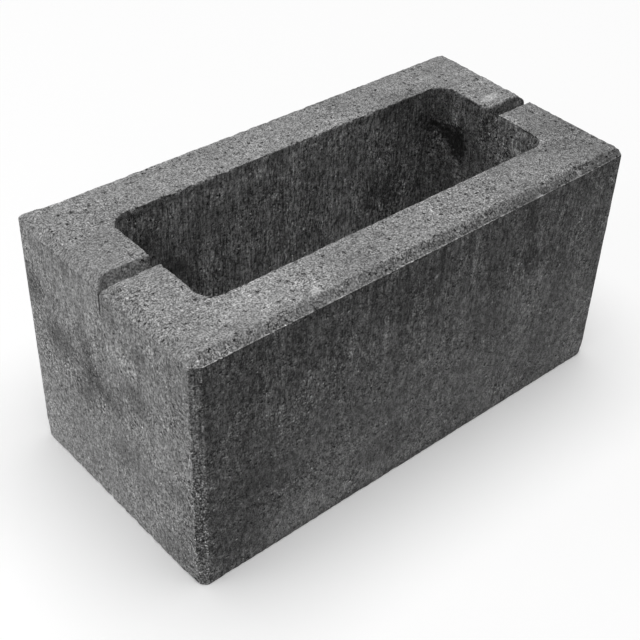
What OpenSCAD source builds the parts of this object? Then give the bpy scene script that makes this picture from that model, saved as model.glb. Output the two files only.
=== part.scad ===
// Hollow concrete block, pressed in a steel mould as one piece.
// One large core runs right through from bed to bed, and a V groove crosses the top of each end wall.
// Frame: X along the length, Y across the width, Z up; origin at the centre of the bottom bed.

/* [Block] */
// Length of the block along the wall
block_length = 400; // [300:1:600]
// Width of the block across the wall
block_width = 198; // [150:1:300]
// Height of the block from bed to bed
block_height = 200; // [100:1:300]
// Corner radius of the top bed, inside the chamfer
bed_corner_radius = 1; // [0.5:0.5:10]

/* [Chamfer round the top bed] */
// How far the chamfer reaches in over the top bed
chamfer_width = 7; // [2:0.5:12]
// How far the chamfer reaches down the four faces
chamfer_height = 6; // [2:0.5:12]

/* [Core] */
// Thickness of the two long walls at the top bed
side_wall = 43; // [30:1:60]
// Thickness of the two end walls at the top bed
end_wall = 43; // [30:1:100]
// Radius of the core's upright corners at the top bed
core_radius = 14; // [8:1:20]
// Draft: how much every wall thickens from the top bed to the bottom bed
core_draft = 2.5; // [0.5:0.5:5]

/* [Groove across each end wall] */
// Width of the groove at the top bed
groove_width = 12.6; // [8:0.2:30]
// Width of the flat at the root of the groove
groove_root = 1.6; // [0.4:0.2:6]
// Depth of the groove below the top bed
groove_depth = 21.6; // [8:0.2:50]

/* [Hidden] */
$fn = 96;
// How far the cutting shapes run past the faces that they open
past = 2;
// The chamfer keeps the same width round the corners, so the upright corners are larger by that width
corner_radius = bed_corner_radius + chamfer_width;
chamfer_base = block_height - chamfer_height;
// Half sizes of the core at the top bed
core_x = block_length / 2 - end_wall;
core_y = block_width / 2 - side_wall;

// How much the core has drawn in at height z, nothing at the top bed and the full draft at the bottom one
function draft_at(z) = core_draft * (block_height - z) / block_height;

// Half width of the groove at height z, on the straight line of its two sides
function groove_at(z) =
    groove_width / 2 - (groove_width - groove_root) / 2 * (block_height - z) / groove_depth;

// Places a shape at the four upright corners whose centres lie at x, y
module at_corners(x, y) {
    for (sx = [-1, 1], sy = [-1, 1])
        translate([sx * x, sy * y, 0])
            children();
}

// Upright section of a slab with a chamfer on both top edges
module chamfered_section(half) {
    polygon([
        [-half, 0],
        [half, 0],
        [half, chamfer_base],
        [half - chamfer_width, block_height],
        [-half + chamfer_width, block_height],
        [-half, chamfer_base]
    ]);
}

// Upright section of the core, tapered by the draft and running past both beds
module core_section(half) {
    low = half - draft_at(-past);
    high = half - draft_at(block_height + past);
    polygon([
        [-low, -past],
        [low, -past],
        [high, block_height + past],
        [-high, block_height + past]
    ]);
}

// Runs an upright section along X, centred on the origin
module along_x(length) {
    rotate([90, 0, 90])
        linear_extrude(height = length, center = true)
            children();
}

// Runs an upright section along Y, centred on the origin
module along_y(length) {
    rotate([90, 0, 0])
        linear_extrude(height = length, center = true)
            children();
}

// The mould's outside shape: two crossing slabs and four turned corners, all with the same chamfer
module outside() {
    corner_x = block_length / 2 - corner_radius;
    corner_y = block_width / 2 - corner_radius;
    along_x(2 * corner_x)
        chamfered_section(block_width / 2);
    along_y(2 * corner_y)
        chamfered_section(block_length / 2);
    at_corners(corner_x, corner_y)
        rotate_extrude()
            polygon([
                [0, 0],
                [corner_radius, 0],
                [corner_radius, chamfer_base],
                [bed_corner_radius, block_height],
                [0, block_height]
            ]);
}

// The core that is drawn out upwards: tapered slabs, with cones of the same draft at the corners
module core() {
    corner_x = core_x - core_radius;
    corner_y = core_y - core_radius;
    along_x(2 * corner_x)
        core_section(core_y);
    along_y(2 * corner_y)
        core_section(core_x);
    at_corners(corner_x, corner_y)
        translate([0, 0, -past])
            cylinder(
                h = block_height + 2 * past,
                r1 = core_radius - draft_at(-past),
                r2 = core_radius - draft_at(block_height + past)
            );
}

// The V groove across both end walls, from the outer face into the core
module grooves() {
    inner_x = core_x - core_draft - past;
    outer_x = block_length / 2 + past;
    root_z = block_height - groove_depth;
    top_z = block_height + past;
    for (side = [-1, 1])
        translate([side * (inner_x + outer_x) / 2, 0, 0])
            along_x(outer_x - inner_x)
                polygon([
                    [-groove_at(root_z), root_z],
                    [groove_at(root_z), root_z],
                    [groove_at(top_z), top_z],
                    [-groove_at(top_z), top_z]
                ]);
}

// The whole cast block
module block() {
    color("dimgray")
        difference() {
            outside();
            core();
            grooves();
        }
}

block();
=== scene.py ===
"""Looks of a hollow concrete block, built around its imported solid. All sizes are in metres."""

import math

import bpy
import numpy as np
from mathutils import Matrix, Vector


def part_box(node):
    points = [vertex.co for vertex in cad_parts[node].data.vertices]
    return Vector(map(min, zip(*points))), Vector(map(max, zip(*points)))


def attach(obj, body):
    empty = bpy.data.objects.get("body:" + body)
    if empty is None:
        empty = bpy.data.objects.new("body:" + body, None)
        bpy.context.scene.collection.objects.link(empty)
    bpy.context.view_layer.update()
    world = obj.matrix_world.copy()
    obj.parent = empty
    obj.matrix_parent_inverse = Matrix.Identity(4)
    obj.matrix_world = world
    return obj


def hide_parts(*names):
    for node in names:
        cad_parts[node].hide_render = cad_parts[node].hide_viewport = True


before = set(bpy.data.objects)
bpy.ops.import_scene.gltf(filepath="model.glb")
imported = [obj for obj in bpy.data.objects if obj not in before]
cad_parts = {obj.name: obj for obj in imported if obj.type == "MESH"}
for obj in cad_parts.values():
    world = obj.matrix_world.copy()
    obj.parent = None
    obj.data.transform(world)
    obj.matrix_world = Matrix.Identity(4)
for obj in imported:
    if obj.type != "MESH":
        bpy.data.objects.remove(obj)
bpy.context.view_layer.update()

# The block
# One piece of dry-pressed concrete: sand and fine stone, tamped into a steel mould and pushed out at once,
# so the beds are open-grained and the upright faces carry drag marks. Nothing is fixed to it.

block_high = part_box("block")[1]
half_length = block_high.x
half_width = block_high.y
height = block_high.z
wall = 0.043
chamfer_width = 0.007
chamfer_height = 0.006
corner_radius = 0.008
core_radius = 0.014
core_draft = 0.0025
groove_width = 0.0126
groove_root = 0.0016
groove_depth = 0.0216

# Stations round the block: how many along each side, and how many near the groove and beyond on half an end
side_count = 270
groove_near = 0.009
near_count = 27
far_count = 44
far_power = 1.25

# The upright corners are rubbed flat, at about 53 degrees to the end, from flat_start to flat_end of the
# quarter turn. Stations lie close together on both edges of the flat.
corner_radius_to_flat = 0.889
flat_middle = math.radians(52.6)
flat_start = math.radians(19.5)
flat_end = math.radians(81.2)
flat_margin = 0.01
corner_turns = np.radians([0, 10, 18, 19.5, 21, 32, 44, 56, 68, 79.7, 81.2, 82.7])
corner_count = len(corner_turns)


def straight_stations(reach, count):
    """Even stations along one straight side, from minus reach to plus reach, without the last one."""
    return np.linspace(-reach, reach, count + 1)[:-1]


def groove_stations(reach):
    """Stations across an end wall: even and close near the groove, then spread to `reach` by a power of the
    share of the way, without the last one."""
    far = groove_near + (reach - groove_near) * np.linspace(0, 1, far_count + 1) ** far_power
    half = np.concatenate([np.linspace(0, groove_near, near_count + 1), far[1:]])
    return np.concatenate([-half[:0:-1], half])[:-1]


def plan_rail(half_x, half_y, radius):
    """Rounded-rectangle plan line, anticlockwise from the right end: the line that the corners turn about,
    the outward normals, and how far round its quarter turn each station is.

    Each straight side is a row of stations, and each corner keeps its centre while the normal turns from
    one side's to the next. A point of the rail is its centre plus the radius times its normal.
    """
    reach_x = half_x - radius
    reach_y = half_y - radius
    end = groove_stations(reach_y)
    side = straight_stations(reach_x, side_count)
    lines = (
        np.stack([np.full_like(end, reach_x), end], 1),
        np.stack([-side, np.full_like(side, reach_y)], 1),
        np.stack([np.full_like(end, -reach_x), -end], 1),
        np.stack([side, np.full_like(side, -reach_y)], 1),
    )
    corners = ((reach_x, reach_y), (-reach_x, reach_y), (-reach_x, -reach_y), (reach_x, -reach_y))
    centres = []
    turns = []
    starts = []
    for i, (line, corner) in enumerate(zip(lines, corners)):
        centres += [line, np.tile(corner, (corner_count, 1))]
        turns += [np.zeros(len(line)), corner_turns]
        starts += [np.full(len(line) + corner_count, i * math.pi / 2)]
    turn = np.concatenate(turns)
    angle = np.concatenate(starts) + turn
    return np.concatenate(centres), np.stack([np.cos(angle), np.sin(angle)], 1), turn


outer_centre, outer_normal, outer_turn = plan_rail(half_length, half_width, corner_radius)
core_centre, core_normal = plan_rail(half_length - wall, half_width - wall, core_radius)[:2]

# Way from a corner's centre to the end, the flat and the side, whichever comes first, counted in corner radii
to_flat = corner_radius_to_flat / np.cos(outer_turn - flat_middle)
to_end = 1 / np.cos(outer_turn)
to_side = 1 / np.maximum(np.sin(outer_turn), 0.5)
to_outline = np.minimum(np.minimum(to_flat, to_end), to_side)

# The far left corner is not rubbed, and it is fuller than a round: x cubed plus y cubed is 1. Its chamfer is
# narrower and less high, and so, half as much, is the near right corner's.
full_reach = 0.012
full_at_near_right = 0.5
full_narrows = 0.25
full_lifts = 0.35
far_left = (outer_centre[:, 0] < 0) & (outer_centre[:, 1] > 0)
to_full = (np.cos(outer_turn) ** 3 + np.sin(outer_turn) ** 3) ** (-1 / 3)
far_left_centre = np.array((corner_radius - half_length, half_width - corner_radius))
far_left_way = np.linalg.norm(outer_centre - far_left_centre, axis=1, keepdims=True)
near_right_way = np.linalg.norm(outer_centre + far_left_centre, axis=1, keepdims=True)
full_corner = np.exp(-(far_left_way / full_reach) ** 2)
full_corner = full_corner + full_at_near_right * np.exp(-(near_right_way / full_reach) ** 2)
chamfer_share = 1 - full_narrows * full_corner
rubbed = corner_radius * (1 - np.where(far_left, to_full, to_outline))
rubbed = np.where(outer_turn > 0, rubbed, 0)[:, None]
on_flat = (outer_turn > flat_start + flat_margin) & (outer_turn < flat_end - flat_margin) & ~far_left


def rounded_corner(before, corner, after, radius, count):
    """Points of a round that replaces one corner of the wall's section.

    The round touches both sides at radius times the tangent of half the turn, and its points lie on the
    curve that blends corner and touching points by squares of the share along it.
    """
    before, corner, after = (np.array(p, float) for p in (before, corner, after))
    back = (before - corner) / np.linalg.norm(before - corner)
    ahead = (after - corner) / np.linalg.norm(after - corner)
    half_turn = 0.5 * math.acos(np.clip(-back @ ahead, -1, 1))
    touch = radius * math.tan(half_turn)
    share = np.linspace(0, 1, count)[:, None]
    start = corner + touch * back
    end = corner + touch * ahead
    return (1 - share) ** 2 * start + 2 * share * (1 - share) * corner + share ** 2 * end


# Section through a wall as depth in from the outer face and height. The stamp that presses the chamfer leaves
# a narrow ledge at its foot, where the mould's own wall begins.
ledge_width = 0.0015
ledge_lift = 0.0003
ledge_height = height - chamfer_height + ledge_lift
section_corners = np.array([
    (0, 0),
    (0, ledge_height),
    (ledge_width, ledge_height),
    (chamfer_width, height),
    (wall, height),
    (wall + core_draft, 0),
])

# Round of each corner, points on it, cells in the run after it, and how these crowd to the run's two ends
section_rounds = (0.0008, 0.0002, 0.0003, 0.0012, 0.0009, 0.0008)
round_counts = (3, 3, 2, 4, 5, 3)
run_counts = (36, 2, 4, 22, 34, 2)
crowd_start = (1, 1, 1, 1, 1.5, 1)
crowd_end = (1.5, 1, 1, 1, 1, 1)
arcs = []
for i, radius in enumerate(section_rounds):
    previous = section_corners[i - 1]
    following = section_corners[(i + 1) % len(section_corners)]
    arcs.append(rounded_corner(previous, section_corners[i], following, radius, round_counts[i]))
stretches = []
for i, count in enumerate(run_counts):
    run_start = arcs[i][-1]
    run_end = arcs[(i + 1) % len(arcs)][0]
    between = 1 - (1 - np.linspace(0, 1, count + 1)[1:-1, None] ** crowd_start[i]) ** crowd_end[i]
    stretches += [arcs[i], run_start + between * (run_end - run_start)]
section = np.concatenate(stretches)
depth = section[:, 0]
level = section[:, 1]

# Even stretches of the section are its rounds, and odd ones the runs after them
stretch_of = np.repeat(np.arange(len(stretches)), [len(s) for s in stretches])
on_outer = stretch_of <= 1
on_ledge = (stretch_of == 2) | (stretch_of == 3)
on_foot = stretch_of == 4
on_chamfer = stretch_of == 5
on_slope = on_ledge | on_foot | on_chamfer
on_shoulder = stretch_of == 6
on_bed = stretch_of == 7
on_core = stretch_of == 9


def smooth_step(value, low, high):
    """0 below low, 1 above high, and 3 t squared minus 2 t cubed between."""
    t = np.clip((value - low) / (high - low), 0, 1)
    return t * t * (3 - 2 * t)


rub_low = 0.001
rub_full = 0.018
rim_proud = 0.0008
rim_low = height - 0.010
rim_full = height - 0.001


def plan_at(depths, levels):
    """Plan points at depths in from the outer face and levels up it, for all stations of the rails.

    Within the chamfer they move in along the outer normal, with the rubbed flat fading out on the way, as it
    does towards the foot. Across the bed they blend evenly to the core's line, and past it they move on along
    the core's normal. The far rim of the core stands a little proud of the wall under it.
    """
    chamfer = np.minimum(depths, chamfer_width)
    across = np.clip((depths - chamfer_width) / (wall - chamfer_width), 0, 1)[:, None]
    beyond = np.maximum(depths - wall, 0)
    rub_share = (1 - chamfer / chamfer_width) * smooth_step(levels, rub_low, rub_full)
    outer_radius = corner_radius - chamfer_share * chamfer - rubbed * rub_share
    outer = outer_centre[:, None] + outer_radius[..., None] * outer_normal[:, None]
    proud = rim_proud * np.maximum(core_normal[:, 1:], 0) * smooth_step(levels, rim_low, rim_full)
    inner = core_centre[:, None] + (core_radius - beyond - proud)[..., None] * core_normal[:, None]
    return (1 - across) * outer + across * inner


def soft_lower(a, b, reach):
    """The lower of two heights, blended where they are within about `reach` of each other."""
    gap = np.clip((b - a) / reach, -30, 30)
    return b - reach * np.logaddexp(0, gap)


def lattice_noise(where, cell, seed):
    """Smooth noise from -1 to 1: a random number for each corner of a lattice, blended by the point's place.

    `cell` is the lattice's step along x, y and z, and the blend weight is 3 t squared minus 2 t cubed.
    """
    table = np.random.default_rng(seed).uniform(-1, 1, 8192)
    place = where / np.asarray(cell)
    base = np.floor(place).astype(np.int64)
    t = place - base
    t = t * t * (3 - 2 * t)
    total = np.zeros(where.shape[:-1])
    for corner in np.ndindex(2, 2, 2):
        index = base + np.array(corner)
        key = (index[..., 0] * 73856093) ^ (index[..., 1] * 19349663) ^ (index[..., 2] * 83492791)
        weight = np.prod(np.where(corner, t, 1 - t), axis=-1)
        total += weight * table[key % len(table)]
    return total


plan = plan_at(depth, level)
x = plan[..., 0]
y = plan[..., 1]
flat_points = np.stack([x, y, np.broadcast_to(level, x.shape)], -1)

# V groove: its floor rises on both sides of the middle plane from the root to the bed
groove_slope = groove_depth / ((groove_width - groove_root) / 2)
groove_floor = height - groove_depth + np.maximum(np.abs(y) - groove_root / 2, 0) * groove_slope

# At the left face the groove has closed up to a short funnel over a thin slit
slit_half = 0.0006
funnel_depth = 0.0090
funnel_slope = 2.5
mouth_near = 0.0020
mouth_far = 0.0090
funnel_floor = height - funnel_depth + np.maximum(np.abs(y) - slit_half, 0) * funnel_slope
mouth_floor = np.where(np.abs(y) < slit_half, height - groove_depth, funnel_floor)
closed_up = np.where(x < 0, 1 - smooth_step(half_length + x, mouth_near, mouth_far), 0)
groove_floor = (1 - closed_up) * groove_floor + closed_up * mouth_floor

# At the core the right groove is choked with crumbs, heaped up to a ridge a little way in
crumb_height = 0.0080
crumb_inset = 0.0070
crumb_slope = 1.6
crumb_roughness = 0.0020
into_wall = x - (half_length - wall)
crumbs = height - crumb_height - np.abs(into_wall - crumb_inset) * crumb_slope
crumbs = crumbs + crumb_roughness * lattice_noise(flat_points, 0.0025, 10)
groove_floor = np.where(x > 0, np.maximum(groove_floor, crumbs), groove_floor)

# The groove cuts the wall's upper part, which closes up in proportion under it. The bottom bed has no groove.
groove_roughness = 0.0018
groove_lip = 0.0008
groove_floor = groove_floor + groove_roughness * lattice_noise(flat_points, 0.0035, 20)
wall_top = np.where(on_outer, ledge_height, np.where(on_core, height, level))
wall_top = np.where(wall_top > 0.001, wall_top, height)
cut = np.minimum(soft_lower(wall_top, groove_floor, groove_lip), wall_top)
z = level * cut / wall_top

# On the left end the ledge is filled up, and the chamfer runs out level with the face
on_left_end = smooth_step(-outer_normal[:, :1], 0.7, 1.0)
chamfer_slope = (height - ledge_height) / chamfer_width
ledge_fill = np.minimum(depth, ledge_width * (chamfer_width - depth) / (chamfer_width - ledge_width))
ledge_fill = np.where(on_slope, chamfer_slope * np.maximum(ledge_fill, 0), 0)
z = z + ledge_fill * on_left_end

# At the two fuller corners the chamfer starts higher up
corner_lift = np.minimum((height - ledge_height) * level / ledge_height, height - level)
corner_lift = np.where(on_outer | on_slope, full_lifts * corner_lift, 0)
z = z + corner_lift * full_corner
sunk = level - z
points = np.stack([x, y, z], -1)


def grid_normals(grid):
    """Outward unit normals of a closed grid: the cross product of its two central differences."""
    along = np.roll(grid, -1, 0) - np.roll(grid, 1, 0)
    round_section = np.roll(grid, -1, 1) - np.roll(grid, 1, 1)
    normal = np.cross(along, round_section)
    return normal / np.linalg.norm(normal, axis=-1, keepdims=True)


def patch(where, centre, reach, softness=0.6):
    """Soft spot: 1 well within its reach and 0 well past it, by a smooth step of the way from its centre.

    The way is counted in the reach along each axis. Centre and reach are in millimetres.
    """
    away = (where - 0.001 * np.array(centre)) / (0.001 * np.array(reach))
    return 1 - smooth_step(np.sqrt((away ** 2).sum(-1)), 0.9 - softness, 0.9 + softness)


def patches(where, rows, softness=0.6):
    """Sum of soft spots, each times its strength. A row gives a spot's centre, reach and strength."""
    return sum(strength * patch(where, centre, reach, softness) for centre, reach, strength in rows)


# Where the face is mould-smooth skin, and where it is open grain: beds, chamfer and rubbed corners. On the
# left end the grain runs on a little way down the face, less far beyond the groove.
grain_run = 0.016
grain_run_less = 0.006
grain_full = 0.004
grain_raggedness = 0.004
face_skin = (on_outer & ~on_flat[:, None]) | on_core
run_down = grain_raggedness * lattice_noise(points, 0.007, 19)
grain_depth = grain_run - grain_run_less * smooth_step(y, 0.0, 0.03)
left_grain = smooth_step(z + run_down - height + grain_depth, 0.0, grain_depth - grain_full)
skin = np.where(face_skin, 1 - on_left_end * np.where(on_outer, left_grain, 0), 0.0)

# How strongly the faces were dragged on the way out of the mould: the core's sides most, then its ends, and
# the outer faces in their upper part
outer_drag = (0.15 + 0.4 * smooth_step(z, 0.05, 0.15)) * (1 - 0.5 * on_left_end)
core_drag = np.where(np.abs(core_normal[:, :1]) > 0.7, 0.6, 1.0)
drag = np.where(on_core, core_drag, np.where(on_outer, outer_drag, 0.0))

# How pitted they are: rubbed corners and chamfer most, then the upper part of the outer faces, and the far
# and left beds least. Rows add to that or take from it, by place.
rubbed_flat = on_outer & on_flat[:, None]
near_bed = (1 - smooth_step(y, -0.07, 0.0)) * smooth_step(x, -0.19, -0.12)
face_pits = np.where(on_outer, 0.65 + 0.45 * smooth_step(z, 0.07, 0.15), 0.72)
pitted = np.where(face_skin, face_pits, 0.6 + 0.3 * near_bed)
slope_pits = 1.2 - 0.4 * on_left_end
pitted = np.where(on_slope, slope_pits, np.where(rubbed_flat, 1.5, pitted))
pit_places = (
    # Both faces beside the near left corner
    ((-150, -99, 85), (60, 12, 90), 0.45),
    ((-188, -99, 45), (20, 12, 65), 0.60),
    ((-200, -88, 42), (10, 16, 62), 0.60),
    # The damp band on the left end, and the bed beside the left groove
    ((-200, 32, 98), (10, 50, 16), 0.35),
    ((-194, -30, 198), (14, 22, 8), 0.50),
    # The right end of the core, the crumbs in the groove there, and the far wall beside it
    ((157, 0, 175), (9, 60, 60), 0.50),
    ((160, 0, 188), (8, 9, 16), 1.0),
    ((118, 56, 130), (50, 14, 55), 0.70),
    # Smoother: pale places in the bed
    ((-138, -76, 200), (28, 22, 6), -0.35),
    ((172, 17, 200), (10, 6, 4), -0.70),
    # Smoother: pebbles in the chamfer, the bed and the front
    ((148, -96.5, 196), (4, 4, 4), -1.0),
    ((-98.2, -89, 200), (4.2, 3.8, 3), -1.4),
    ((3, -99, 168), (3.2, 4, 3.2), -1.2),
    # Smoother: upper part of the left end
    ((-200, -35, 174), (10, 55, 26), -0.50),
    ((-200, 42, 178), (10, 38, 26), -0.75),
    ((-200, 2, 142), (10, 26, 22), -0.35),
)
pitted = pitted + patches(points, pit_places)

# Crumbled arrises: how near an arris or the groove's lip is, times how much has crumbled there. The core's
# rim has lost most, above all on its far side, and the ledge least.
arris_reach = 0.0016
foot_top = 0.010
normals = grid_normals(points)
arris_level = np.array([arc[:, 1].mean() for arc in arcs])
arris_depth = np.array([arc[:, 0].mean() for arc in arcs])
to_arris = np.hypot(depth[:, None] - arris_depth, level[:, None] - arris_level).min(1)
to_groove_lip = np.where(skin > 0, 1.0, np.abs(groove_floor - level))
arris = np.exp(-(np.minimum(to_arris, to_groove_lip) / arris_reach) ** 2)
foot_chips = 0.6 + 0.9 * on_left_end
arris_chips = np.where(on_ledge | on_foot, 0.5, 1.0)
arris_chips = np.where(level < foot_top, foot_chips, arris_chips)
rim_chips = 1.7 + 1.2 * core_normal[:, 1:]
rim_chips = rim_chips * (1 - 0.9 * patch(points, (114, 56, 199), (14, 6, 6)))
arris = arris * np.where(depth > 0.75 * wall, rim_chips, arris_chips)

# Relief: open grain, shallow drag marks on the skin, and chips out of the arrises
grain_height = 0.00022
lump_height = 0.00012
drag_height = 0.00010
chip_depth = 0.0008
grain = grain_height * lattice_noise(points, 0.0026, 11) + lump_height * lattice_noise(points, 0.006, 12)
drag_waves = drag_height * lattice_noise(points, (0.004, 0.004, 0.060), 13)
fine_chips = np.maximum(lattice_noise(points, 0.0026, 14), 0)
wide_chips = np.maximum(lattice_noise(points, 0.011, 15) - 0.6, 0)
relief = grain * (1 - 0.6 * skin) + drag_waves * drag
relief = relief - chip_depth * (fine_chips * arris + 2 * wide_chips * np.minimum(arris, 1))

# Damage, in millimetres: the foot is chipped beside the near left corner and at the near right one, the bed
# is blunt at the far right corner, the core's far rim is low in one place, and a pebble stands out of the
# front chamfer
damage = (
    ((-200, -86, 0), (6, 6, 6), -1.2),
    ((199, -98, 0), (5, 5, 6), -2.8),
    ((193, 92, 200), (4, 4, 4), -0.5),
    ((134, 56, 199), (8, 5, 5), -0.9),
    ((148, -96.5, 196), (3, 3, 3), 0.8),
)
relief = relief + 0.001 * patches(points, damage)

# The core's right rim and the mouth of the left groove have crumbled
crumbled_depth = 0.0022
crumbled_places = (
    ((157, -36, 199), (6, 20, 5), 1.0),
    ((-196, -5, 198), (6, 4, 4), 0.6),
)
crumbled = patches(points, crumbled_places) * (0.5 + 0.5 * lattice_noise(points, 0.0030, 23))
relief = relief - crumbled_depth * crumbled

# Everything is sunk a little, so that only the chamfer rises above the moulded shape
relief_sink = 0.0002
chamfer_rise = 0.0006
relief = np.minimum(relief - relief_sink, np.where(on_chamfer, chamfer_rise, 0.0))
points = points + relief[..., None] * normals

# Tone: stains, pale places and painted light and shade as the natural logarithm of how much lighter they
# are, with ragged outlines
stain_and_shade_raggedness = 0.006
ragged = np.stack([lattice_noise(points, 0.014, seed) for seed in (16, 17, 18)], -1)
stains_and_painted_shading = (
    # Front face: dark runs down from the top arris, a damp left foot, paler to the right and along the foot
    ((-165, -99, 55), (34, 12, 50), -0.26),
    ((-130, -99, 168), (50, 12, 38), -0.16),
    ((-34, -99, 168), (9, 12, 20), -0.40),
    ((6, -99, 155), (8, 12, 36), -0.30),
    ((-15, -99, 165), (60, 12, 28), -0.14),
    ((72, -99, 164), (20, 12, 28), -0.20),
    ((74, -99, 173), (7, 12, 12), -0.34),
    ((64, -99, 146), (10, 12, 10), -0.36),
    ((96, -99, 181), (7, 12, 11), -0.48),
    ((113, -99, 141), (16, 12, 11), -0.50),
    ((100, -99, 160), (7, 12, 8), 0.28),
    ((-120, -99, 181), (9, 12, 11), 0.20),
    ((-72, -99, 16), (6, 12, 6), -0.25),
    ((112, -99, 102), (36, 12, 26), 0.20),
    ((180, -99, 120), (28, 12, 90), 0.16),
    ((190, -99, 165), (12, 12, 42), 0.26),
    ((-106, -99, 17), (38, 12, 17), 0.44),
    ((-34, -99, 12), (42, 12, 7), 0.36),
    ((-30, -99, 55), (55, 12, 9), 0.12),
    ((-36, -99, 34), (34, 12, 9), -0.16),
    ((-90, -99, 90), (62, 12, 46), -0.12),
    ((122, -99, 28), (38, 12, 11), -0.15),
    # Left end: a damp band that runs down to the right, and paler above it
    ((-200, 86, 150), (12, 14, 15), -0.60),
    ((-200, 61, 115), (12, 19, 13), -0.70),
    ((-200, 20, 118), (12, 15, 14), -0.50),
    ((-200, 6, 104), (12, 22, 10), -0.65),
    ((-200, 28, 88), (12, 10, 11), -0.50),
    ((-200, -30, 126), (12, 15, 13), -0.36),
    ((-200, -37, 165), (12, 18, 11), -0.28),
    ((-200, -15, 64), (12, 16, 11), -0.32),
    ((-200, -72, 72), (12, 10, 10), -0.25),
    ((-200, -68, 14), (12, 24, 14), -0.40),
    ((-200, 30, 164), (12, 34, 22), 0.14),
    ((-200, -65, 89), (12, 15, 15), 0.20),
    ((-200, -70, 185), (12, 45, 16), 0.08),
    ((-200, -93, 140), (12, 9, 55), 0.12),
    ((-200, -40, 146), (12, 40, 14), 0.14),
    # Core: darker at the far right and in places on the far wall, and paler at the right. Painted light makes
    # it paler under the far rim, and painted shade darkens the far wall just behind the left end wall.
    ((102, 56, 125), (18, 12, 15), -0.75),
    ((140, 56, 140), (36, 14, 60), -0.42),
    ((145, 56, 178), (16, 14, 18), -0.40),
    ((157, 48, 188), (9, 10, 14), -0.35),
    ((157, 16, 156), (9, 16, 18), -0.55),
    ((157, -22, 184), (9, 20, 24), 0.40),
    ((157, 18, 190), (9, 16, 9), 0.20),
    ((154, -47, 190), (12, 12, 16), 0.30),
    ((92, 56, 106), (26, 12, 22), -0.30),
    ((156, 38, 118), (10, 20, 26), -0.28),
    ((112, 56, 192), (24, 12, 10), -0.45),
    # Painted light: paler under the far rim, against the shade of its proud lip
    ((-40, 56, 186), (110, 12, 12), 0.34),
    ((0, 56, 110), (170, 12, 110), 0.06),
    ((73, 56, 126), (9, 12, 9), 0.30),
    ((51, 56, 114), (11, 12, 7), -0.35),
    ((9, 56, 110), (9, 12, 8), -0.40),
    ((-49, 56, 122), (7, 12, 6), -0.30),
    ((5, 56, 192), (9, 12, 6), -0.30),
    ((-40, 56, 115), (14, 12, 9), 0.20),
    # Painted shade on the far wall deep in the core, along where the left end wall hides it
    ((-143, 56, 181), (6, 12, 8), -0.5),
    ((-131, 56, 163), (11, 12, 13), -1.1),
    ((-110, 56, 137), (13, 12, 11), -1.0),
    ((-97, 56, 119), (9, 12, 9), -0.45),
    ((-97, 56, 137), (16, 12, 11), -0.25),
    ((-110, 56, 100), (70, 12, 26), -0.25),
    # Top bed: paler at the near left, darker at the near right
    ((-128, -76, 200), (42, 26, 6), 0.22),
    ((-52, -76, 200), (16, 18, 6), -0.12),
    ((-44, 80, 200), (22, 14, 6), -0.10),
    ((180, -60, 200), (30, 55, 9), -0.26),
    ((68, 86, 200), (11, 12, 6), -0.18),
    ((135, -60, 200), (45, 6, 4), -0.22),
)
tone = patches(points + stain_and_shade_raggedness * ragged, stains_and_painted_shading)

# Marks with clear outlines: a pale patch beside the right groove, a pebble in the bed with its painted shade
# and a dark place beside it, two in the chamfer and one in the front
mark_raggedness = 0.001
mark_softness = 0.3
marks = (
    ((172, 17, 200), (9, 5, 4), 0.55),
    ((-98.2, -89, 200), (3.8, 3.2, 3), 0.52),
    # Painted shade of the pebble
    ((-104, -86.5, 200), (2.6, 1.2, 2), -0.6),
    ((-85, -95, 199), (7, 3, 2), -0.2),
    ((148, -96.5, 196), (3, 3, 3), 1.0),
    ((105, -98, 194), (3, 2, 2), 0.80),
    ((3, -99, 168), (2.6, 3, 2.8), 1.50),
)
tone = tone + patches(points + mark_raggedness * ragged, marks, mark_softness)

# A black patch on the core's right wall, with its tail round the corner. The material breaks up its outline.
black_patch_raggedness = 0.003
black_patch_softness = 0.8
black_patch_most = 1.1
black_patch_places = (
    ((157, 30, 156), (9, 10, 15), 1.1),
    ((157, 41, 160), (8, 10, 8), 0.75),
    ((154, 50, 165), (12, 10, 9), 0.5),
    ((141, 56, 171), (17, 9, 9), 0.5),
)
black_patch = np.minimum(patches(points + black_patch_raggedness * ragged, black_patch_places, black_patch_softness), black_patch_most)

# Upright streaks in the upper part of the outer faces, and painted shade under the front's top arris,
# deepest just under it
wide_streaks = lattice_noise(points, (0.006, 0.006, 0.050), 21)
thin_streaks = lattice_noise(points, (0.0025, 0.0025, 0.030), 22)
wide_weight = 0.22
thin_weight = 0.38 + 0.30 * smooth_step(z, 0.13, 0.185)
upper = smooth_step(z, 0.06, 0.15) * (1 - 0.6 * on_left_end) * on_outer
tone = tone + (wide_weight * wide_streaks + thin_weight * thin_streaks) * upper
on_front = on_outer & (outer_normal[:, 1:] < -0.7)
# Painted shade: the front darkens towards its top arris, most just under it
under_arris_shade = 0.08 * smooth_step(z, 0.150, 0.175) + 0.08 * smooth_step(z, 0.187, 0.191)
tone = tone - np.where(on_front, under_arris_shade, 0)

# Beyond the groove, the left end has a little painted shade under its top arris
left_arris_shade = smooth_step(z, 0.180, 0.187) * smooth_step(y, 0.005, 0.03) * on_left_end
tone = tone - np.where(on_outer, 0.10 * left_arris_shade, 0)

# The bed's near side pales towards the left. The right groove has painted shade, darker the deeper it is,
# and its crumbs are dark.
tone = tone - np.where(on_bed & (y < 0), 0.55 * x, 0)
# Painted shade in the right groove, by how deep it sinks
tone = tone - np.where(on_bed & (x > 0), 0.80 * smooth_step(sunk, 0.001, 0.003), 0)
tone = tone - 0.35 * patch(points, (160, 0, 188), (7, 8, 14), 0.4)

# The slit under the left groove has painted shade, and a faint painted line of shade runs on down from it
tone = tone - 1.3 * patch(points, (-199, 0, 186), (5, 0.8, 8))
tone = tone - 0.32 * patch(points, (-200, 0, 164), (3, 0.9, 14))
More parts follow.
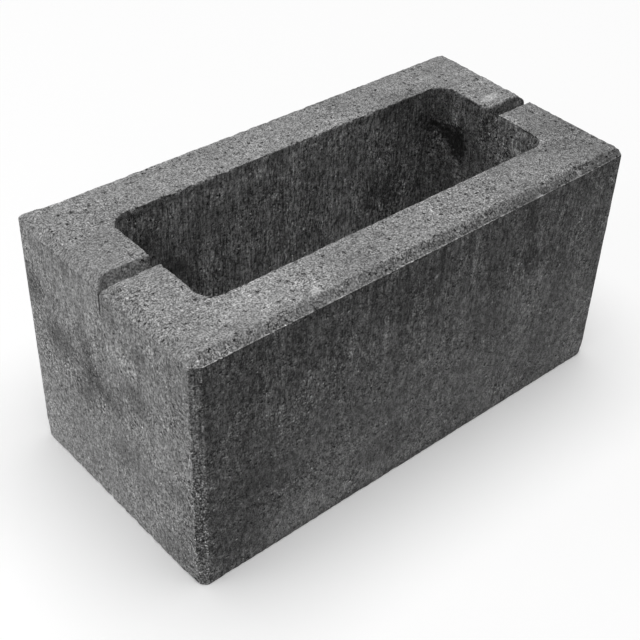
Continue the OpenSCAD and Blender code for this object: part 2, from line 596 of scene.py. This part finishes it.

# The chamfer is darker than the bed, more so towards the right. Its ledge has a painted highlight on
# the left and is darker to the right, and the crease at the chamfer's foot has painted shade, more so to the
# right. The rubbed corners pale round to the side and upwards.
at_left = on_left_end > 0.5
chamfer_tone = np.where(at_left, -0.20, -0.27 - 1.9 * x)
# Painted shade in the crease at the chamfer's foot, deeper to the right
foot_tone_and_shade = chamfer_tone - np.where(at_left, 0, 0.30 + 0.35 * x)
# Painted highlight on the ledge's left part, darker to the right
ledge_tone_and_light = np.where(at_left, -0.20, -1.0 * x - 1.6 * np.maximum(x, 0))
shoulder_tone = np.where(x > 0, 0.4 * chamfer_tone, 0)
flat_tone = -0.04 + 0.13 * outer_turn[:, None] + 0.12 * smooth_step(z, 0.10, 0.16)
for place, place_tone in (
        (on_chamfer, chamfer_tone),
        (on_ledge, ledge_tone_and_light),
        (on_foot, foot_tone_and_shade),
        (on_shoulder, shoulder_tone),
        (rubbed_flat, flat_tone)):
    tone = tone + np.where(place, place_tone, 0)

# Way round each corner from the edge between its end and its flat, kept within the corner's own reach
way_before = -0.01
way_after = 0.02
outer_line = outer_centre + (corner_radius - rubbed) * outer_normal
steps = np.linalg.norm(np.diff(outer_line, axis=0), axis=1)
way_round = np.concatenate([[0], np.cumsum(steps)])
edge_ways = way_round[np.isclose(outer_turn, flat_start)]
from_edge = way_round[:, None] - edge_ways
from_edge = np.take_along_axis(from_edge, np.abs(from_edge).argmin(1)[:, None], 1)
corner_way = np.where(on_outer, np.clip(from_edge, way_before, way_after), way_before)


def closed_grid_mesh(name, grid):
    """Mesh of a grid that closes on itself both ways: each cell is one quad, wound to face outwards."""
    rows, columns = grid.shape[:2]
    index = np.arange(rows * columns).reshape(rows, columns)
    ahead = np.roll(index, -1, 0)
    up = np.roll(index, -1, 1)
    both = np.roll(ahead, -1, 1)
    quads = np.stack([index, ahead, both, up], -1).reshape(-1, 4)
    mesh = bpy.data.meshes.new(name)
    mesh.vertices.add(rows * columns)
    mesh.vertices.foreach_set("co", grid.astype(np.float32).ravel())
    mesh.loops.add(quads.size)
    mesh.loops.foreach_set("vertex_index", quads.astype(np.int32).ravel())
    mesh.polygons.add(len(quads))
    mesh.polygons.foreach_set("loop_start", np.arange(0, quads.size, 4, dtype=np.int32))
    mesh.polygons.foreach_set("use_smooth", np.ones(len(quads), bool))
    mesh.update(calc_edges=True)
    mesh.validate()
    return mesh


block_mesh = closed_grid_mesh("concrete_block", points)
surface_values = {
    "skin": skin,
    "drag": drag,
    "pitted": pitted,
    "tone": tone,
    "black_patch": black_patch,
    "corner_way": corner_way,
}
for attribute_name, values in surface_values.items():
    attribute = block_mesh.attributes.new(attribute_name, "FLOAT", "POINT")
    attribute.data.foreach_set("value", np.ascontiguousarray(values, np.float32).ravel())
block = bpy.data.objects.new("concrete_block", block_mesh)
bpy.context.scene.collection.objects.link(block)


def concrete():
    """Grey pressed concrete: speckled sand with pale grains, dark pits and pores with painted highlights on
    their lips, upright drag marks on the skin, and ragged corners with painted light and shade along their
    edges. The tones add up as logarithms: colour is the mean grey times e to their sum."""
    mean_grey = 0.262
    bump_depth = 0.0020
    material = bpy.data.materials.new("concrete")
    material.use_nodes = True
    nodes = material.node_tree.nodes
    links = material.node_tree.links
    shader = nodes["Principled BSDF"]
    shader.inputs["Roughness"].default_value = 0.92
    shader.inputs["Specular IOR Level"].default_value = 0.25
    place = nodes.new("ShaderNodeTexCoord").outputs["Object"]

    def value(operation, first, second=0.5, third=None):
        """One sum of numbers, each a socket or a constant."""
        node = nodes.new("ShaderNodeMath")
        node.operation = operation
        for socket, given in zip(node.inputs, (first, second, third)):
            if isinstance(given, (int, float)):
                socket.default_value = given
            elif given is not None:
                links.new(given, socket)
        return node.outputs[0]

    def noise(scale, detail, stretch=1):
        """Noise of about 1 / scale metres, drawn out along z by the stretch."""
        mapping = nodes.new("ShaderNodeMapping")
        mapping.inputs["Scale"].default_value = (scale, scale, scale / stretch)
        links.new(place, mapping.inputs["Vector"])
        node = nodes.new("ShaderNodeTexNoise")
        node.inputs["Scale"].default_value = 1.0
        node.inputs["Detail"].default_value = detail
        links.new(mapping.outputs["Vector"], node.inputs["Vector"])
        return node.outputs["Fac"]

    def surface(name):
        """One of the mesh's own attributes."""
        node = nodes.new("ShaderNodeAttribute")
        node.attribute_name = name
        return node.outputs["Fac"]

    def between(source, low, high, at_low, at_high):
        """Smooth step from one value to another as the source goes from low to high."""
        node = nodes.new("ShaderNodeMapRange")
        node.interpolation_type = "SMOOTHSTEP"
        for name, number in (("From Min", low), ("From Max", high), ("To Min", at_low), ("To Max", at_high)):
            node.inputs[name].default_value = number
        links.new(source, node.inputs["Value"])
        return node.outputs["Result"]

    smooth_skin = surface("skin")
    dragged = surface("drag")
    pitted_here = surface("pitted")

    # Rough and smooth places alternate every few centimetres, in the speckle's strength and the pits' crowds
    rough_places = noise(32, 2.0)
    roughness = between(rough_places, 0.35, 0.65, 0.90, 1.18)
    roughness = value("MULTIPLY", roughness, value("MULTIPLY_ADD", pitted_here, 0.45, 0.68))
    crowd = value("MULTIPLY", pitted_here, between(rough_places, 0.35, 0.65, 0.6, 1.45))

    # Places bent by fine noise, so that pits and grains have ragged outlines
    bend_reach = 0.004
    wobble = nodes.new("ShaderNodeTexNoise")
    wobble.inputs["Scale"].default_value = 700.0
    wobble.inputs["Detail"].default_value = 1.0
    links.new(place, wobble.inputs["Vector"])
    bend = nodes.new("ShaderNodeVectorMath")
    bend.operation = "MULTIPLY_ADD"
    links.new(wobble.outputs["Color"], bend.inputs[0])
    bend.inputs[1].default_value = (bend_reach, bend_reach, bend_reach)
    links.new(place, bend.inputs[2])
    bent_place = bend.outputs["Vector"]

    def cells_picked(scale, share, drop=0.0):
        """Cells of about 1 / scale metres: the way from each one's middle, and 1 in a share of them. The
        share rises and falls from place to place, so they come in crowds, and all lie lower by the drop."""
        dropped = nodes.new("ShaderNodeVectorMath")
        links.new(bent_place, dropped.inputs[0])
        dropped.inputs[1].default_value = (0, 0, drop)
        cells = nodes.new("ShaderNodeTexVoronoi")
        cells.inputs["Scale"].default_value = scale
        links.new(dropped.outputs["Vector"], cells.inputs["Vector"])
        pick = nodes.new("ShaderNodeSeparateColor")
        links.new(cells.outputs["Color"], pick.inputs["Color"])
        picked = value("LESS_THAN", pick.outputs["Red"], value("MULTIPLY", crowd, share))
        return cells.outputs["Distance"], picked

    def spots(cells, core, edge):
        """Ragged spots in the picked cells, full to `core` and gone at `edge`, counted in cells."""
        away, picked = cells
        return value("MULTIPLY", between(away, core, edge, 1.0, 0.0), picked)

    def swing(source, middle, grain_weight, skin_weight):
        """A texture about its middle, weighted one way on open grain and another on skin."""
        weight = value("MULTIPLY_ADD", smooth_skin, skin_weight - grain_weight, grain_weight)
        return value("MULTIPLY", value("SUBTRACT", source, middle), weight)

    sand = noise(900, 1.0, stretch=1.2)
    grit = noise(380, 2.0, stretch=1.4)
    lumps = noise(110, 2.0)
    clouds = noise(16, 3.0)
    dashes = noise(700, 1.0, stretch=5)
    streaks = noise(600, 1.0, stretch=25)
    smears = noise(75, 2.0, stretch=6)
    scores = between(streaks, 0.57, 0.70, 0.0, 1.0)
    nicks = between(noise(420, 1.0, stretch=3), 0.60, 0.72, 0.0, 1.0)

    # A pit's lip is the same cell a little lower down, painted paler as a highlight where light from above
    # would catch it
    pit_scale = 230
    pit_share = 0.42
    lip_drop = 0.0014
    pit_cells = cells_picked(pit_scale, pit_share)
    lip_highlight_cells = cells_picked(pit_scale, pit_share, drop=lip_drop)
    pore_cells = cells_picked(430, 0.48)
    pebble_cells = cells_picked(480, 0.20)

    # Speckle is sand, grit and upright dashes, with its pale side held back
    dash_weight = 3.0
    pale_side = 0.66
    speckle = value("ADD", swing(sand, 0.5, 4.4, 3.8), swing(grit, 0.5, 2.1, 3.1))
    dash = value("MULTIPLY", value("SUBTRACT", dashes, 0.5), dash_weight)
    speckle = value("MULTIPLY_ADD", dash, dragged, speckle)
    speckle = value("MULTIPLY", speckle, roughness)
    tones = value("ADD", surface("tone"), value("MINIMUM", speckle, value("MULTIPLY", speckle, pale_side)))

    # Each row is a texture, its middle, and its weights on open grain and on skin
    for source, middle, grain_weight, skin_weight in (
            (lumps, 0.5, 0.7, 0.95),
            (clouds, 0.5, 0.6, 0.9),
            # Painted highlight on the lower lips of the pits
            (spots(lip_highlight_cells, 0.08, 0.28), 0.0, 0.10, 0.90),
            (spots(pit_cells, 0.09, 0.24), 0.0, -1.9, -2.7),
            (spots(pore_cells, 0.12, 0.34), 0.0, -2.2, -2.6),
            (spots(pebble_cells, 0.20, 0.52), 0.0, 0.35, 0.60)):
        tones = value("ADD", tones, swing(source, middle, grain_weight, skin_weight))

    # Drag marks: a texture, its middle and its weight where the face was dragged most
    for source, middle, weight in (
            (streaks, 0.5, 1.6),
            (smears, 0.5, 1.6),
            (scores, 0.0, -0.7),
            (nicks, 0.0, -1.1)):
        mark = value("MULTIPLY", value("SUBTRACT", source, middle), weight)
        tones = value("MULTIPLY_ADD", mark, dragged, tones)

    black_patch_black = -2.4
    black_patch_edge = value("MULTIPLY", value("SUBTRACT", noise(420, 3.0), 0.5), 2.3)
    black_patch_tone = between(value("ADD", surface("black_patch"), black_patch_edge), 0.20, 1.10, 0.0, black_patch_black)
    tones = value("ADD", tones, black_patch_tone)

    # Painted light and shade at both edges of a rubbed corner: where the ragged edge strays from the straight
    # one, a pale or dark spot is painted, so that the step in shading between the faces looks ragged
    edge_softness = 0.0003
    edge_raggedness = 0.005
    flat_across = 0.0085
    way = surface("corner_way")
    ragged_way = value("MULTIPLY_ADD", value("SUBTRACT", noise(500, 2.0), 0.5), edge_raggedness, way)
    for edge, darker in ((0.0, 0.80), (flat_across, 0.55)):
        here = between(way, edge - edge_softness, edge + edge_softness, 0.0, darker)
        strayed = between(ragged_way, edge - edge_softness, edge + edge_softness, 0.0, darker)
        tones = value("ADD", tones, value("SUBTRACT", here, strayed))
    links.new(value("MULTIPLY", value("EXPONENT", tones), mean_grey), shader.inputs["Base Color"])

    # Bump: pale grains stand out a little, and pits go in
    raised = value("MULTIPLY", spots(pebble_cells, 0.1, 0.5), 0.3)
    rise = value("MULTIPLY_ADD", spots(pit_cells, 0.04, 0.36), -1.0, raised)
    bump = nodes.new("ShaderNodeBump")
    bump.inputs["Strength"].default_value = 1.0
    bump.inputs["Distance"].default_value = bump_depth
    links.new(rise, bump.inputs["Height"])
    links.new(bump.outputs["Normal"], shader.inputs["Normal"])
    return material


block_mesh.materials.append(concrete())
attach(block, "root")
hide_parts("block")

# The studio
# A plain pale floor under a wide soft light from overhead, a low soft light from the left end and a weak even
# light all round. The floor is stage, not part of the block.

floor_half = 8.0
floor_mesh = bpy.data.meshes.new("floor")
floor_mesh.from_pydata(
    [(-floor_half, -floor_half, 0), (floor_half, -floor_half, 0),
     (floor_half, floor_half, 0), (-floor_half, floor_half, 0)], [], [(0, 1, 2, 3)])
floor = bpy.data.objects.new("floor", floor_mesh)
bpy.context.scene.collection.objects.link(floor)


def seen_outright(nodes, links):
    """1 for a ray that shows the surface itself, straight, mirrored or through glass, and 0 for one that only
    gathers its light."""
    path = nodes.new("ShaderNodeLightPath")
    seen = path.outputs["Is Camera Ray"]
    for other in ("Is Glossy Ray", "Is Transmission Ray"):
        either = nodes.new("ShaderNodeMath")
        either.operation = "MAXIMUM"
        links.new(seen, either.inputs[0])
        links.new(path.outputs[other], either.inputs[1])
        seen = either.outputs[0]
    return seen


def pale_floor():
    """Matte floor that looks white. It throws light back only near the block, and less than white would, so
    that the shaded front stays dark and is a little lighter at its foot."""
    bounce = 0.38
    bounce_beyond = 0.02
    bounce_near = 0.15
    bounce_far = 0.45
    material = bpy.data.materials.new("pale_floor")
    material.use_nodes = True
    nodes = material.node_tree.nodes
    links = material.node_tree.links
    shader = nodes["Principled BSDF"]
    shader.inputs["Roughness"].default_value = 1.0
    shader.inputs["Specular IOR Level"].default_value = 0.0
    away = nodes.new("ShaderNodeVectorMath")
    away.operation = "LENGTH"
    links.new(nodes.new("ShaderNodeTexCoord").outputs["Object"], away.inputs[0])
    fade = nodes.new("ShaderNodeMapRange")
    fade.interpolation_type = "SMOOTHSTEP"
    fade.inputs["From Min"].default_value = bounce_near
    fade.inputs["From Max"].default_value = bounce_far
    fade.inputs["To Min"].default_value = bounce
    fade.inputs["To Max"].default_value = bounce_beyond
    links.new(away.outputs["Value"], fade.inputs["Value"])
    mix = nodes.new("ShaderNodeMix")
    mix.data_type = "FLOAT"
    links.new(seen_outright(nodes, links), mix.inputs["Factor"])
    links.new(fade.outputs["Result"], mix.inputs[2])
    mix.inputs[3].default_value = 1.0
    links.new(mix.outputs[0], shader.inputs["Base Color"])
    return material


floor_mesh.materials.append(pale_floor())

overhead_level = 0.86
overhead = bpy.data.lights.new("overhead", "SUN")
overhead.energy = overhead_level * math.pi
overhead.angle = math.radians(58)
overhead_lamp = bpy.data.objects.new("overhead", overhead)
bpy.context.scene.collection.objects.link(overhead_lamp)

side_turn = math.radians(20)
side_distance = 1.7
side_height = 0.105
side = bpy.data.lights.new("left_panel", "AREA")
side.shape = "RECTANGLE"
side.size = 0.9
side.size_y = 0.20
side.energy = 13.0
side_lamp = bpy.data.objects.new("left_panel", side)
side_lamp.location = (-side_distance * math.cos(side_turn), side_distance * math.sin(side_turn), side_height)
side_lamp.rotation_euler = (math.pi / 2, 0, -math.pi / 2 - side_turn)
bpy.context.scene.collection.objects.link(side_lamp)

even_level = 0.10
world = bpy.data.worlds.new("studio")
world.use_nodes = True
world_nodes = world.node_tree.nodes
world_links = world.node_tree.links
background = world_nodes["Background"]
background.inputs["Color"].default_value = (1, 1, 1, 1)
world_light = world_nodes.new("ShaderNodeMix")
world_light.data_type = "FLOAT"
world_light.inputs[2].default_value = even_level
world_light.inputs[3].default_value = 1.0
world_links.new(seen_outright(world_nodes, world_links), world_light.inputs["Factor"])
world_links.new(world_light.outputs[0], background.inputs["Strength"])
bpy.context.scene.world = world

# The camera
# It stands above the near left corner, a little rolled, and the picture is cropped off its axis.

azimuth = math.radians(-45.295)
elevation = math.radians(39.111)
roll = math.radians(4.343)
distance = 0.94239
aim_right = 0.03189
aim_up = -0.02977
focal_pixels = 1245.83
picture_pixels = 640
axis_pixel = (377.11, 329.46)

back = Vector((math.sin(azimuth) * math.cos(elevation), -math.cos(azimuth) * math.cos(elevation),
               math.sin(elevation)))
level_right = Vector((math.cos(azimuth), math.sin(azimuth), 0))
level_up = back.cross(level_right)
right = math.cos(roll) * level_right + math.sin(roll) * level_up
up = math.cos(roll) * level_up - math.sin(roll) * level_right
stand = Vector((0, 0, height / 2)) + aim_right * right + aim_up * up + distance * back
camera_data = bpy.data.cameras.new("camera")
camera_data.sensor_width = 36.0
camera_data.lens = focal_pixels * camera_data.sensor_width / picture_pixels
camera_data.shift_x = (picture_pixels / 2 - axis_pixel[0]) / picture_pixels
camera_data.shift_y = (axis_pixel[1] - picture_pixels / 2) / picture_pixels
camera_data.clip_start = 0.01
camera_data.clip_end = 100.0
camera = bpy.data.objects.new("camera", camera_data)
camera.matrix_world = Matrix.Translation(stand) @ Matrix((right, up, back)).transposed().to_4x4()
bpy.context.scene.collection.objects.link(camera)
bpy.context.scene.camera = camera
bpy.context.scene.view_settings.view_transform = "Standard"
